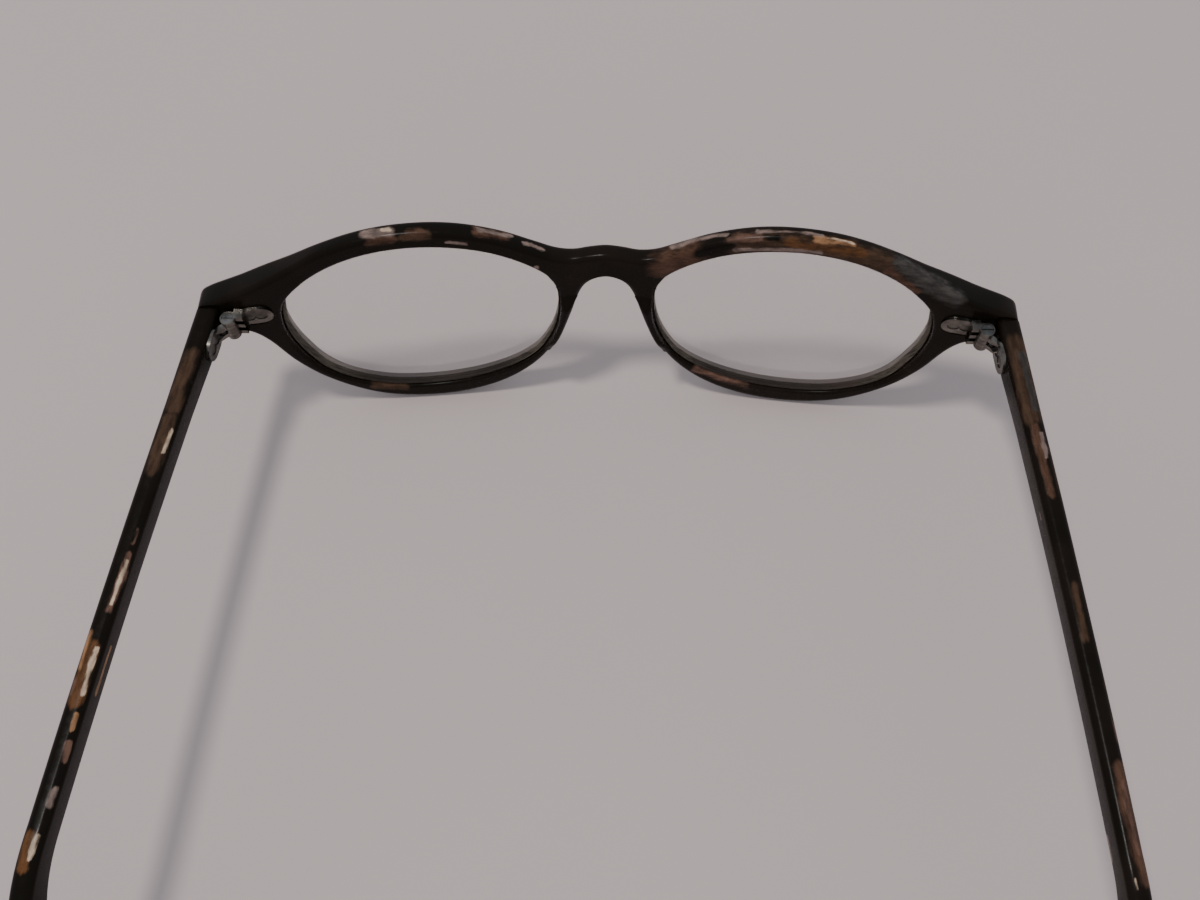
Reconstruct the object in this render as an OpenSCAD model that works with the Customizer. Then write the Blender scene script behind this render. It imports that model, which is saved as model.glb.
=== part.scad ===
// Full rim acetate eyeglasses, standing open on a table.
// The front is sheet acetate, formed to a gentle curve, with a groove around each opening
// that holds a lens by its bevel. Two temples fold on five barrel hinges whose leaves are
// sunk and riveted into the acetate, and a metal core wire stiffens each temple.
// Millimetres. +X is the wearer's right, +Y the way the wearer looks, +Z up.
// The origin is on the table, at the centre of the object's bounding box.

/* [Front] */
// Overall width of the front, endpiece to endpiece
front_w = 134; // [120:1:146]
// Height of the front, from the bottom of the rims to the brow
front_h = 44.9; // [38:0.2:50]
// Thickness of the acetate around the lenses
rim_t = 3.2; // [2.8:0.1:5]
// Thickness of the acetate at the endpieces
end_t = 5.1; // [4:0.1:7]
// Share of the endpieces' extra thickness that lies behind the rims' rear face
end_back = 0.9; // [0:0.1:2]
// Radius of the curve that the front is formed to
front_curve = 363; // [200:1:600]
// Lean of the front on the table, top forwards, in degrees
front_tilt = 12.3; // [0:0.1:15]
// Radius of the tumbled edge on the front face
edge_front = 1.2; // [0.4:0.1:1.6]
// Radius of the tumbled edge on the rear face
edge_rear = 0.9; // [0.3:0.1:1.4]
// Height of the nose pads behind the rear face
pad_h = 1.1; // [0.5:0.1:3]
// Spacing of the points along the outlines
outline_step = 2.6; // [1.5:0.1:5]

/* [Lenses] */
// Depth of the groove that holds each lens
groove_depth = 0.6; // [0.3:0.05:0.9]
// Half the width of the groove at its mouth
groove_half = 0.75; // [0.5:0.05:1]
// Thickness of the lens at its ground edge
lens_edge_t = 2.0; // [1.5:0.1:5]
// Thickness of the lens at its middle
lens_mid_t = 1.6; // [1.2:0.1:4]
// Rise of the lens's front surface from its edge to its middle
lens_rise = 1.3; // [0.5:0.1:3]
// Gap all round between the lens and its groove
lens_gap = 0.05; // [0.02:0.01:0.1]

/* [Temples] */
// Length of the straight shaft, from the hinge to the bend
shaft_l = 83; // [75:1:100]
// Length of the straight end after the bend
tip_l = 43.4; // [30:0.1:50]
// Angle of the bend, in degrees
bend_a = 46; // [30:1:55]
// Radius of the bend
bend_r = 22; // [12:1:40]
// Thickness of the temple at the butt
butt_t = 3.7; // [3:0.1:5]
// Height of the temple at the butt
butt_h = 6.4; // [5:0.1:9]
// Outward splay of the right temple when open, in degrees
splay_right = 6.5; // [0:0.1:14]
// Outward splay of the left temple when open, in degrees
splay_left = 8.7; // [0:0.1:14]
// Rise of the open temple towards its bend, in degrees
temple_rise = 4; // [0:0.1:10]
// Inward turn of the tips, in degrees
tip_turn = 6; // [0:1:15]
// Outward bow of the shaft at its middle
shaft_bow = 0.5; // [0:0.1:2]

/* [Hinges] */
// Distance of the hinge axis from the centre line
hinge_u = 61.9; // [55:0.1:66]
// Height of the hinge axis's middle up the front
hinge_v = 28.6; // [24:0.1:34]
// Distance of the hinge axis behind the milled face of the endpiece
hinge_back = 1.6; // [1.45:0.05:2.5]
// Radius of the knuckles
knuckle_r = 1.2; // [1:0.05:1.6]
// Height of the stack of five knuckles
knuckle_h = 5.2; // [4:0.1:6]
// Radius of the hinge screw's shank
screw_r = 0.6; // [0.4:0.05:0.7]
// Running clearance of the screw in the temple's knuckles
running = 0.04; // [0.02:0.01:0.09]
// Length of each leaf
leaf_l = 6.0; // [5:0.1:9]
// Height of each leaf
leaf_h = 4.6; // [3:0.1:5]
// Thickness of each leaf
leaf_t = 1.0; // [0.6:0.1:1.2]

/* [Colours] */
// Dark tortoiseshell acetate
acetate = [0.10, 0.07, 0.06];
// Clear lens
clear = [0.86, 0.89, 0.90, 0.35];
// Nickel silver of the hinges
nickel = [0.72, 0.70, 0.66];

/* [Hidden] */
$fn = 48;

// scale of the outlines from the size they are drawn at
su = front_w / 134;
sv = front_h / 44.9;
// the whole object is moved so that it stands at z = 0 with its box centred on the origin
stand_x = 2.4;
stand_y = 60.7;
stand_z = 0.33;

// ---- curves ----
// a point on a Catmull-Rom curve between b and c
function cr(a, b, c, d, t) =
    0.5 * (2*b + (c - a)*t + (2*a - 5*b + 4*c - d)*t*t + (3*b - a - 3*c + d)*t*t*t);
// the curve through a list of points; first and last are only there for the tangents
function through(p, step) = [
    for (i = [1:len(p)-3]) let (n = max(1, round(norm(p[i+1] - p[i]) / step)))
        for (k = [0:n-1]) cr(p[i-1], p[i], p[i+1], p[i+2], k/n)
];
function flip(p) = [-p[0], p[1]];
function unit(v) = v / norm(v);
function smooth(t) = let (x = min(1, max(0, t))) x*x*(3 - 2*x);

// ---- outlines, one half, u out from the centre line and v up the front ----
// outer edge from the nose arch round the rim and the endpiece to the middle of the brow
outer_half = [for (p = [
    [0, 33], [3.1, 31.4], [5.0, 27.3], [6.4, 22.4], [8.3, 16.6], [11.4, 10.6], [15.5, 5.9],
    [20.5, 2.5], [26.5, 0.4], [33, -0.2], [39.8, 0.9], [45.6, 3.9], [50.4, 8.6], [54.3, 14.6],
    [57.4, 21.2], [60, 24.4], [63.2, 25.3], [66.2, 26.2], [67.1, 29], [66.9, 31.6], [65.2, 32.9],
    [59.5, 34.9], [52.5, 38.1], [46, 41.5], [38.5, 44.0], [31, 44.9], [24, 44.4], [17.2, 42.4],
    [11.5, 39.6], [8.2, 38.0], [5.4, 37.6], [2.8, 38.2], [0, 38.6]]) [p[0]*su, p[1]*sv]];
outer = through(concat([flip(outer_half[1])], outer_half, [flip(outer_half[len(outer_half)-2])]),
                outline_step);
half_outer = concat(outer, [outer_half[len(outer_half)-1]]);
n_half = len(half_outer);

// lens opening, anticlockwise from its nasal side
eye_c = [31*su, 23.5*sv];
eye_pts = [for (p = [
    [7.8, 27.6], [8.2, 22], [9.6, 17], [12.2, 12.1], [16.4, 8.2], [22, 5.3], [28, 3.7], [34, 3.3],
    [40, 4.1], [45.6, 6.7], [49.7, 10.5], [52.3, 15.4], [53.9, 20.4], [54.4, 25.4], [53.4, 30.4],
    [50, 34.4], [45, 37.9], [39, 40.3], [32, 41.4], [25, 41], [19, 39.5], [14, 37], [10, 33.9],
    [8.3, 31]]) [p[0]*su, p[1]*sv]];
ne = len(eye_pts);
eye = through([for (i = [-1:ne+1]) eye_pts[(i + ne) % ne]], 1.6);

// where the ray from the middle of the opening towards q meets the opening's edge
function cross2(a, b) = a[0]*b[1] - a[1]*b[0];
function meet(q) = let (d = q - eye_c, n = len(eye), hits = [for (i = [0:n-1])
        let (a = eye[i] - eye_c, b = eye[(i+1) % n] - eye_c)
        if (cross2(a, d) >= 0 && cross2(b, d) < 0 && a*d > 0) let (e = b - a)
            eye_c + d * (cross2(a, e) / cross2(d, e))]) hits[0];
eye_st = [for (q = half_outer) meet(q)];

// left-hand normals of a closed loop
function normals(p) = let (n = len(p)) [for (i = [0:n-1])
    let (t = unit(p[(i+1) % n] - p[(i+n-1) % n])) [-t[1], t[0]]];

// whole outer loop, right half then left half, and its inward normals
loop_o = concat(half_outer, [for (i = [n_half-2:-1:1]) flip(half_outer[i])]);
norm_o = normals(loop_o);
norm_e = [for (v = normals(eye_st)) -v];
m_o = len(loop_o);

// ---- depth of the front, w, positive forwards ----
// rear face of the rims, carried on over the whole width; grooves and lenses are set out from it
function w_rim(u) = -u*u / (2*front_curve);
function to_end(u) = smooth((abs(u) - 45*su) / (13*su));
function w_rear(u) = w_rim(u) - end_back*to_end(u);
function w_front(u) = w_rim(u) + rim_t + (end_t - end_back - rim_t)*to_end(u);
// 1 where a nose pad sits on the rim beside the nose, falling to 0 past its two ends
function by_pad(p) = abs(p[0]) > 13.5*su ? 0 : smooth((p[1]/sv - 12.5)/4) * smooth((29 - p[1]/sv)/4);
// e is [inset, kind, offset]: kind 1 is below the front face, 0 above the rear face and
// 2 is measured from the middle of the groove; the rear edges stay nearly square under a pad
function skin(p, n, e) = let (k = e[1] == 0 ? 1 - 0.85*by_pad(p) : 1, q = p + n*e[0]*k) [q[0],
    e[1] == 1 ? w_front(q[0]) - e[2] : e[1] == 0 ? w_rear(q[0]) + e[2]*k : w_rim(q[0]) + rim_t/2 + e[2],
    q[1]];
function round_off(r, kind, a0, a1, s) =
    [for (a = [a0:s:a1]) [r*(1 - sin(a)), kind, r*(1 - cos(a))]];
prof_o = concat(round_off(edge_front, 1, 0, 90, 30), round_off(edge_rear, 0, 90, 0, -45));
prof_e = concat(round_off(0.5, 1, 0, 90, 45),
                [[0, 2, groove_half], [groove_depth, 2, 0], [0, 2, -groove_half]],
                round_off(0.4, 0, 90, 0, -45));

// two triangles for each cell of a grid of m stations by k rings, numbered from base
function wall(m, k, base, flipped) = [for (i = [0:m-1], j = [0:k-2])
    let (a = base + i*k + j, b = base + i*k + j + 1,
         c = base + ((i+1) % m)*k + j + 1, d = base + ((i+1) % m)*k + j)
        for (t = flipped ? [[a, d, c], [a, c, b]] : [[a, b, c], [a, c, d]]) t];

// the flat of one half, between the opening and the outer edge
function flat(front, left) = let (ko = len(prof_o), ke = len(prof_e),
        jo = front ? 0 : ko - 1, je = front ? 0 : ke - 1,
        base_e = m_o*ko + (left ? n_half*ke : 0))
    [for (i = [0:n_half-1]) let (i2 = (i+1) % n_half,
        o1 = (left ? (m_o - i) % m_o : i)*ko + jo, o2 = (left ? (m_o - i2) % m_o : i2)*ko + jo,
        e1 = base_e + i*ke + je, e2 = base_e + i2*ke + je)
        for (t = front != left ? [[o1, o2, e1], [o2, e2, e1]] : [[o1, e1, o2], [o2, e1, e2]]) t];

module front_blank() {
    ko = len(prof_o);
    ke = len(prof_e);
    pts = concat(
        [for (i = [0:m_o-1], e = prof_o) skin(loop_o[i], norm_o[i], e)],
        [for (i = [0:n_half-1], e = prof_e) skin(eye_st[i], norm_e[i], e)],
        [for (i = [0:n_half-1], e = prof_e) let (q = skin(eye_st[i], norm_e[i], e)) [-q[0], q[1], q[2]]]);
    faces = concat(wall(m_o, ko, 0, false), wall(n_half, ke, m_o*ko, true),
        wall(n_half, ke, m_o*ko + n_half*ke, false),
        flat(true, false), flat(false, false), flat(true, true), flat(false, true));
    polyhedron(pts, faces, convexity = 8);
}

// ---- frames ----
// one side of the object, right for s = 1 and left for s = -1, mirrored about the front's middle
module side(s) translate([stand_x, 0, 0]) if (s > 0) children(); else mirror([1, 0, 0]) children();
// the front's own frame within a side: x along the front, y through it, z up it
module on_front() translate([0, stand_y, stand_z]) rotate([-front_tilt, 0, 0]) children();
// the right hinge: origin at the middle of the axis, y towards the endpiece's milled face
hinge_w = w_rear(60*su) - hinge_back;
hinge_p = [hinge_u*su, stand_y + hinge_v*sv*sin(front_tilt) + hinge_w*cos(front_tilt),
           stand_z + hinge_v*sv*cos(front_tilt) - hinge_w*sin(front_tilt)];
module at_hinge(s) side(s) translate(hinge_p) rotate([-temple_rise, 0, 0]) children();
// the right temple: x outwards, y forwards (so the temple runs to -y), z along the hinge axis
module on_temple(s) at_hinge(s) rotate([0, 0, s > 0 ? splay_right : splay_left]) children();
temple_in = 1.8;

// ---- hinge ----
kn = knuckle_h / 5;
knuckle_gap = 0.03;
leaf_turn = -atan((w_rear(55*su) - w_rear(61*su)) / (6*su));
// leaf with round ends, flat in x-z from x = 0, its outer face at y = 0 and thickness towards +y
module leaf_plate(extra) {
    r = leaf_h/2 + extra;
    rotate([-90, 0, 0]) translate([0, 0, -extra]) {
        translate([leaf_h/2, 0, 0]) cylinder(r = r, h = leaf_t + 2*extra);
        translate([leaf_l - leaf_h/2, 0, 0]) cylinder(r = r, h = leaf_t + 2*extra);
        translate([leaf_h/2, -r, 0]) cube([leaf_l - leaf_h, 2*r, leaf_t + 2*extra]);
    }
}
rivet_x = [leaf_h/2 - 0.3, leaf_l - leaf_h/2 + 0.3];
module rivet_holes() for (x = rivet_x) {
    translate([x, -1, 0]) rotate([-90, 0, 0]) cylinder(r = 0.52, h = 8);
    translate([x, -1, 0]) rotate([-90, 0, 0]) cylinder(r = 1.02, h = 1 + leaf_t*0.45);
}
module rivets(depth) for (x = rivet_x) translate([x, 0.12, 0]) rotate([-90, 0, 0]) {
    cylinder(r = 1.0, h = leaf_t*0.45 - 0.14);
    cylinder(r = 0.5, h = depth);
}
module rivet_pockets(depth) for (x = rivet_x)
    translate([x, 0, 0]) rotate([-90, 0, 0]) cylinder(r = 0.52, h = depth + 0.25);

// knuckle number i of five, counted from the bottom
module knuckle(i) translate([0, 0, -knuckle_h/2 + i*kn + knuckle_gap])
    cylinder(r = knuckle_r, h = kn - 2*knuckle_gap);
module screw_hole(r) translate([0, 0, -knuckle_h/2 - 1]) cylinder(r = r, h = knuckle_h + 2);
module screw_head_hole() translate([0, 0, knuckle_h/2 - 0.5]) cylinder(r = 1.0, h = 2);

// where the front's leaf starts, and its turn along the rear face
module on_front_leaf() translate([-0.9, hinge_back - 0.4, 0]) rotate([0, 0, leaf_turn])
    mirror([1, 0, 0]) children();
module front_hinge(s) color(nickel) at_hinge(s) difference() {
    union() {
        on_front_leaf() leaf_plate(0);
        for (i = [0, 2, 4]) {
            knuckle(i);
            // the knuckle's root, bent back into the leaf
            translate([-2.4, 0, -knuckle_h/2 + i*kn + knuckle_gap])
                cube([2.4, knuckle_r, kn - 2*knuckle_gap]);
            translate([-2.4, 0.6, -knuckle_h/2 + i*kn + knuckle_gap])
                cube([1.5, 1.15, kn - 2*knuckle_gap]);
        }
    }
    on_front_leaf() rivet_holes();
    screw_hole(screw_r + 0.02);
    screw_head_hole();
}
module front_rivets(s) color(nickel) at_hinge(s) on_front_leaf() rivets(2.9);

// where the temple's leaf starts, along the temple's inner face
module on_temple_leaf() rotate([0, 0, -90]) translate([0.7, temple_in - 0.3, 0]) children();
module temple_hinge(s) color(nickel) on_temple(s) difference() {
    union() {
        on_temple_leaf() leaf_plate(0);
        for (i = [1, 3]) {
            knuckle(i);
            // the knuckle's root, running slantwise into the leaf
            translate([0, 0, -knuckle_h/2 + i*kn + knuckle_gap]) hull() {
                translate([0.4, -0.7, 0]) cylinder(r = 0.48, h = kn - 2*knuckle_gap);
                translate([temple_in + 0.1, -2.4, 0]) cylinder(r = 0.42, h = kn - 2*knuckle_gap);
            }
        }
    }
    on_temple_leaf() rivet_holes();
    screw_hole(screw_r + running);
}
module temple_rivets(s) color(nickel) on_temple(s) on_temple_leaf() rivets(2.1);

module hinge_screw(s) color(nickel) at_hinge(s) difference() {
    union() {
        translate([0, 0, -knuckle_h/2 + 0.1]) cylinder(r = screw_r, h = knuckle_h - 0.2);
        translate([0, 0, knuckle_h/2 - 0.48]) cylinder(r = 0.96, h = 0.42);
    }
    translate([-1.2, -0.13, knuckle_h/2 - 0.26]) cube([2.4, 0.26, 1]);
}

// ---- front ----
module front() color(acetate) difference() {
    side(1) on_front() front_blank();
    for (s = [-1, 1]) {
        // rear face of the endpiece, milled square to the hinge, where the temple butts
        at_hinge(s) translate([-1.5, hinge_back - 12, -12]) cube([14, 12, 24]);
        at_hinge(s) on_front_leaf() leaf_plate(0.03);
        at_hinge(s) on_front_leaf() rivet_pockets(2.9);
        // shallow pocket for the roots of the knuckles
        at_hinge(s) translate([-2.45, -2, -knuckle_h/2]) cube([1.6, 3.8, knuckle_h]);
    }
}

// pad glued to the rear face beside the nose arch: it follows the rim and takes its whole
// width, flat against the rear face and domed behind it
pad_st = [for (i = [0:floor(n_half/3)]) if (by_pad(half_outer[i]) > 0.02) i];
// point of the pad at station i, fraction f of the way to the opening, d behind the rear face
function pad_pt(i, f, d) = let (q = half_outer[i] + (eye_st[i] - half_outer[i])*f)
    [q[0], w_rear(q[0]) - d, q[1]];
function pad_end(i, j) = pad_pt(i, 0.5, 0.1) + (pad_pt(i, 0.5, 0.1) - pad_pt(j, 0.5, 0.1))*0.3;
module nose_pad(s) color(acetate) side(s) on_front() sweep(
    [for (i = pad_st) let (h = max(0.15, pad_h*by_pad(half_outer[i])))
        concat([for (a = [0:20:180]) pad_pt(i, 0.5 + 0.45*cos(a), 0.03 + h*sin(a))],
               [for (f = [0.28, 0.72]) pad_pt(i, f, 0.03)])],
    pad_end(pad_st[0], pad_st[1]),
    pad_end(pad_st[len(pad_st)-1], pad_st[len(pad_st)-2]));

// ---- lens ----
lens_rings = [0.34, 0.67];
// e as in skin(), for the lens's own edge
lens_prof = [[-0.35, 2, 1.0], [-lens_gap, 2, 0.62], [groove_depth - lens_gap - 0.02, 2, 0],
             [-lens_gap, 2, -0.62], [-lens_gap, 2, 1.05 - lens_edge_t], [-0.4, 2, 0.85 - lens_edge_t]];
module lens(s) {
    n = n_half;
    kl = len(lens_prof);
    nr = len(lens_rings);
    c = eye_c;
    base_w = w_rim(c[0]) + rim_t/2;
    // w on the front (f = 1) and rear (f = 0) surface at fraction r of the way to the edge
    function mid_w(u, r, f) = w_rim(u) + rim_t/2
        + (f == 1 ? 1.0 + lens_rise*(1 - r*r)
                  : 1.0 + lens_rise*(1 - r*r) - (lens_mid_t + (lens_edge_t - lens_mid_t)*r*r) - 0.15*r*r);
    k = kl + 2*nr;
    pts = concat([for (i = [0:n-1]) each concat(
            [for (r = lens_rings) let (q = c + (eye_st[i] - c)*r) [q[0], mid_w(q[0], r, 1), q[1]]],
            [for (e = lens_prof) skin(eye_st[i], norm_e[i], e)],
            [for (j = [nr-1:-1:0]) let (r = lens_rings[j], q = c + (eye_st[i] - c)*r)
                [q[0], mid_w(q[0], r, 0), q[1]]])],
        [[c[0], base_w + 1.0 + lens_rise, c[1]], [c[0], base_w + 1.0 + lens_rise - lens_mid_t, c[1]]]);
    faces = concat(wall(n, k, 0, false),
        [for (i = [0:n-1]) [n*k, i*k, ((i+1) % n)*k]],
        [for (i = [0:n-1]) [n*k + 1, ((i+1) % n)*k + k - 1, i*k + k - 1]]);
    color(clear) side(s) on_front() polyhedron(pts, faces, convexity = 4);
}

// ---- temple ----
arc_l = bend_r * bend_a * PI / 180;
temple_l = shaft_l + arc_l + tip_l;
mid_x = temple_in + butt_t/2;
// centre line in the temple's plane: distance back, and height
function run(s) = s < shaft_l ? s : s < shaft_l + arc_l
    ? shaft_l + bend_r*sin((s - shaft_l)/bend_r*180/PI)
    : shaft_l + bend_r*sin(bend_a) + (s - shaft_l - arc_l)*cos(bend_a);
function drop(s) = s < shaft_l ? 0 : s < shaft_l + arc_l
    ? bend_r*(1 - cos((s - shaft_l)/bend_r*180/PI))
    : bend_r*(1 - cos(bend_a)) + (s - shaft_l - arc_l)*sin(bend_a);
function turn(s) = s < shaft_l ? 0 : s < shaft_l + arc_l ? (s - shaft_l)/bend_r*180/PI : bend_a;
function bow(s) = s > 0 && s < shaft_l ? shaft_bow*(1 - pow(2*s/shaft_l - 1, 2)) : 0;
// thickness and height of the section along the temple: a table of [s, thickness, height]
sections = [[-6, butt_t, butt_h], [0, butt_t, butt_h], [16, butt_t - 0.3, butt_h - 0.6],
            [45, 3.3, 5.6], [shaft_l, 3.3, 5.7], [shaft_l + arc_l + 8, 3.5, 6.8],
            [temple_l - 8, 3.4, 7.0], [temple_l + 1, 3.0, 6.4]];
function size_at(s) = [lookup(s, [for (q = sections) [q[0], q[1]]]),
                       lookup(s, [for (q = sections) [q[0], q[2]]])];
// the end of the tip closes in a round nose
nose_l = 3.4;
function close_up(s) = s > temple_l - nose_l ? sqrt(max(0, 1 - pow((s - temple_l + nose_l)/nose_l, 2))) : 1;
// rounded rectangle, sixteen points
function rr(t, h, r) = [for (q = [0:3], a = [0, 30, 60, 90])
    let (cx = (t/2 - r)*(q == 0 || q == 3 ? 1 : -1), cz = (h/2 - r)*(q < 2 ? 1 : -1))
        [cx + r*cos(a + 90*q), cz + r*sin(a + 90*q)]];
stations = concat([-4, 2], [for (i = [1:9]) 2 + i*(shaft_l - 2)/9],
    [for (i = [1:7]) shaft_l + i*arc_l/7], [for (i = [1:5]) shaft_l + arc_l + i*(tip_l - nose_l)/5],
    [for (a = [25, 45, 62, 76]) temple_l - nose_l + nose_l*sin(a)]);
// the point q = [outwards, upwards] of the cross-section at s
function at_s(s, q) = let (t = turn(s), h = -drop(s) + q[1]*cos(t), f = smooth((s - shaft_l)/arc_l))
    [mid_x + bow(s) + q[0] + h*sin(tip_turn)*f, -run(s) - q[1]*sin(t), h*(1 - (1 - cos(tip_turn))*f)];
// solid through a row of sections, each with np points, closed by a fan to a point at each end
module sweep(rows, first, last) {
    np = len(rows[0]);
    ns = len(rows);
    pts = concat([for (r = rows) each r], [first, last]);
    faces = concat(
        [for (i = [0:ns-2], j = [0:np-1]) let (a = i*np + j, b = i*np + (j+1) % np,
            c = (i+1)*np + (j+1) % np, d = (i+1)*np + j) for (f = [[a, c, b], [a, d, c]]) f],
        [for (j = [0:np-1]) [j, (j+1) % np, ns*np]],
        [for (j = [0:np-1]) [(ns-1)*np + (j+1) % np, (ns-1)*np + j, ns*np + 1]]);
    polyhedron(pts, faces, convexity = 4);
}
module temple_blank() sweep(
    [for (s = stations) let (z = size_at(s), c = max(0.2, close_up(s)),
        sec = rr(z[0]*c, z[1]*c, min(1.3, z[0]*c*0.42))) [for (q = sec) at_s(s, q)]],
    at_s(stations[0], [0, 0]), at_s(temple_l, [0, 0]));
// the core wire, as a solid of radius r that runs from behind the leaf almost to the tip
wire_r = 0.65;
module wire_path(r, extra) {
    ends = [10 - extra, temple_l - 12 + extra];
    inner = [for (s = stations) if (s > 12 && s < temple_l - 14) s];
    rows = [for (s = concat([ends[0]], inner, [ends[1]]))
        [for (a = [0:30:330]) at_s(s, [r*cos(a), r*sin(a)])]];
    sweep(rows, at_s(ends[0], [0, 0]), at_s(ends[1], [0, 0]));
}
module temple(s) color(acetate) difference() {
    on_temple(s) temple_blank();
    // butt end, milled to lie flat on the endpiece when the temple is open
    at_hinge(s) translate([-5, hinge_back - 0.04, -15]) cube([20, 20, 30]);
    on_temple(s) on_temple_leaf() leaf_plate(0.03);
    on_temple(s) on_temple_leaf() rivet_pockets(2.1);
    on_temple(s) wire_path(wire_r + 0.02, 0.1);
}
module core_wire(s) color(nickel) on_temple(s) wire_path(wire_r, 0);

front();
nose_pad(-1);  // nose_pad_left
nose_pad(1);  // nose_pad_right
lens(-1);  // lens_left
lens(1);  // lens_right
front_hinge(-1);  // front_hinge_left
front_hinge(1);  // front_hinge_right
front_rivets(-1);  // front_rivets_left
front_rivets(1);  // front_rivets_right
hinge_screw(-1);  // hinge_screw_left
hinge_screw(1);  // hinge_screw_right
temple_hinge(-1);  // temple_hinge_left
temple_hinge(1);  // temple_hinge_right
temple_rivets(-1);  // temple_rivets_left
temple_rivets(1);  // temple_rivets_right
temple(-1);  // temple_left
temple(1);  // temple_right
core_wire(-1);  // core_wire_left
core_wire(1);  // core_wire_right
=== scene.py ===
"""Full rim acetate eyeglasses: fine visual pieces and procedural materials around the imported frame.

The acetate pieces and the lenses are built here again with fine sections from the same outlines
as the CAD, in millimetres, and then scaled to metres. The metal pieces are the CAD nodes.
"""
import math

import bmesh
import bpy
import numpy as np
from mathutils import Matrix, Vector


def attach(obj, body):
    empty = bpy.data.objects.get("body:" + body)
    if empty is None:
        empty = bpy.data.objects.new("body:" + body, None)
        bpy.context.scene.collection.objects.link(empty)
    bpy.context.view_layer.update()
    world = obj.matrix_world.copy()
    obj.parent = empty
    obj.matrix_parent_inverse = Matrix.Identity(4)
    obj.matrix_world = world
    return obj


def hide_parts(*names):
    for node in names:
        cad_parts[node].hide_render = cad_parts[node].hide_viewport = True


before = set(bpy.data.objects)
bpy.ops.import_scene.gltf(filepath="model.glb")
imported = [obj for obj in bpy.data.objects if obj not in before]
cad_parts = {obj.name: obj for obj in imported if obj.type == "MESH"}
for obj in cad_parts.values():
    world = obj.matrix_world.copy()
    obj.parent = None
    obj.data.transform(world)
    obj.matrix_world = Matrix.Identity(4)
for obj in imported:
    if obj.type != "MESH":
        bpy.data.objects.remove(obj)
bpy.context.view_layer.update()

MM = 0.001

# ---------------------------------------------------------------- dimensions, mm and degrees
RIM_T, END_T, END_BACK, CURVE, TILT = 3.2, 5.1, 0.9, 363.0, 12.3
STAND_X, STAND_Y, STAND_Z = 2.4, 60.7, 0.33
EDGE_FRONT, EDGE_REAR = 1.2, 0.9
END_FROM, END_RUN = 45.0, 13.0  # where the rim starts to thicken towards the endpiece, and how slowly
PAD_H = 1.1
PAD_LOW, PAD_TOP, PAD_FADE, PAD_REACH = 12.5, 29.0, 4.0, 13.5
FINE, COARSE = 0.4, 0.75  # spacing of points along a loop
GROOVE_D, GROOVE_H = 0.6, 0.75
LENS_EDGE, LENS_MID, LENS_RISE, LENS_GAP = 2.0, 1.6, 1.3, 0.05
SHAFT, TIP, BEND_A, BEND_R = 83.0, 43.4, 46.0, 22.0
BUTT_T, BUTT_H, RISE, TIP_TURN, BOW = 3.7, 6.4, 4.0, 6.0, 0.5
SPLAY = {1: 6.5, -1: 8.7}
HINGE_U, HINGE_V, HINGE_BACK = 61.9, 28.6, 1.6
KNUCKLE_H = 5.2
LEAF_L, LEAF_H, LEAF_T = 6.0, 4.6, 1.0
TEMPLE_IN = 1.8

OUTER = [(0, 33), (3.1, 31.4), (5.0, 27.3), (6.4, 22.4), (8.3, 16.6), (11.4, 10.6), (15.5, 5.9),
         (20.5, 2.5), (26.5, 0.4), (33, -0.2), (39.8, 0.9), (45.6, 3.9), (50.4, 8.6), (54.3, 14.6),
         (57.4, 21.2), (60, 24.4), (63.2, 25.3), (66.2, 26.2), (67.1, 29), (66.9, 31.6),
         (65.2, 32.9), (59.5, 34.9), (52.5, 38.1), (46, 41.5), (38.5, 44.0), (31, 44.9), (24, 44.4),
         (17.2, 42.4), (11.5, 39.6), (8.2, 38.0), (5.4, 37.6), (2.8, 38.2), (0, 38.6)]
EYE_C = np.array([31.0, 23.5])
EYE = [(7.8, 27.6), (8.2, 22), (9.6, 17), (12.2, 12.1), (16.4, 8.2), (22, 5.3), (28, 3.7),
       (34, 3.3), (40, 4.1), (45.6, 6.7), (49.7, 10.5), (52.3, 15.4), (53.9, 20.4), (54.4, 25.4),
       (53.4, 30.4), (50, 34.4), (45, 37.9), (39, 40.3), (32, 41.4), (25, 41), (19, 39.5),
       (14, 37), (10, 33.9), (8.3, 31)]


def rad(d):
    return math.radians(d)


def smooth(t):
    t = np.clip(t, 0, 1)
    return t * t * (3 - 2 * t)


# ---------------------------------------------------------------- curves
def through(p, step):
    """Catmull-Rom points from p[1] to just before p[-2]."""
    p = np.array(p, float)
    out = []
    for i in range(1, len(p) - 2):
        a, b, c, d = p[i - 1:i + 3]
        n = max(1, round(np.linalg.norm(c - b) / step))
        for k in range(n):
            t = k / n
            out.append(0.5 * (2 * b + (c - a) * t + (2 * a - 5 * b + 4 * c - d) * t * t
                              + (3 * b - a - 3 * c + d) * t ** 3))
    return np.array(out)


def normals(p):
    """Left-hand unit normals of a closed loop."""
    t = np.roll(p, -1, 0) - np.roll(p, 1, 0)
    t /= np.linalg.norm(t, axis=1)[:, None]
    return np.stack([-t[:, 1], t[:, 0]], 1)


def half_outline(step):
    flip = lambda q: (-q[0], q[1])
    pts = through([flip(OUTER[1])] + OUTER + [flip(OUTER[-2])], step)
    return np.vstack([pts, [OUTER[-1]]])


def eye_loop(step):
    n = len(EYE)
    return through([EYE[i % n] for i in range(-1, n + 2)], step)


def cross(a, b):
    return a[..., 0] * b[..., 1] - a[..., 1] * b[..., 0]


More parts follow.
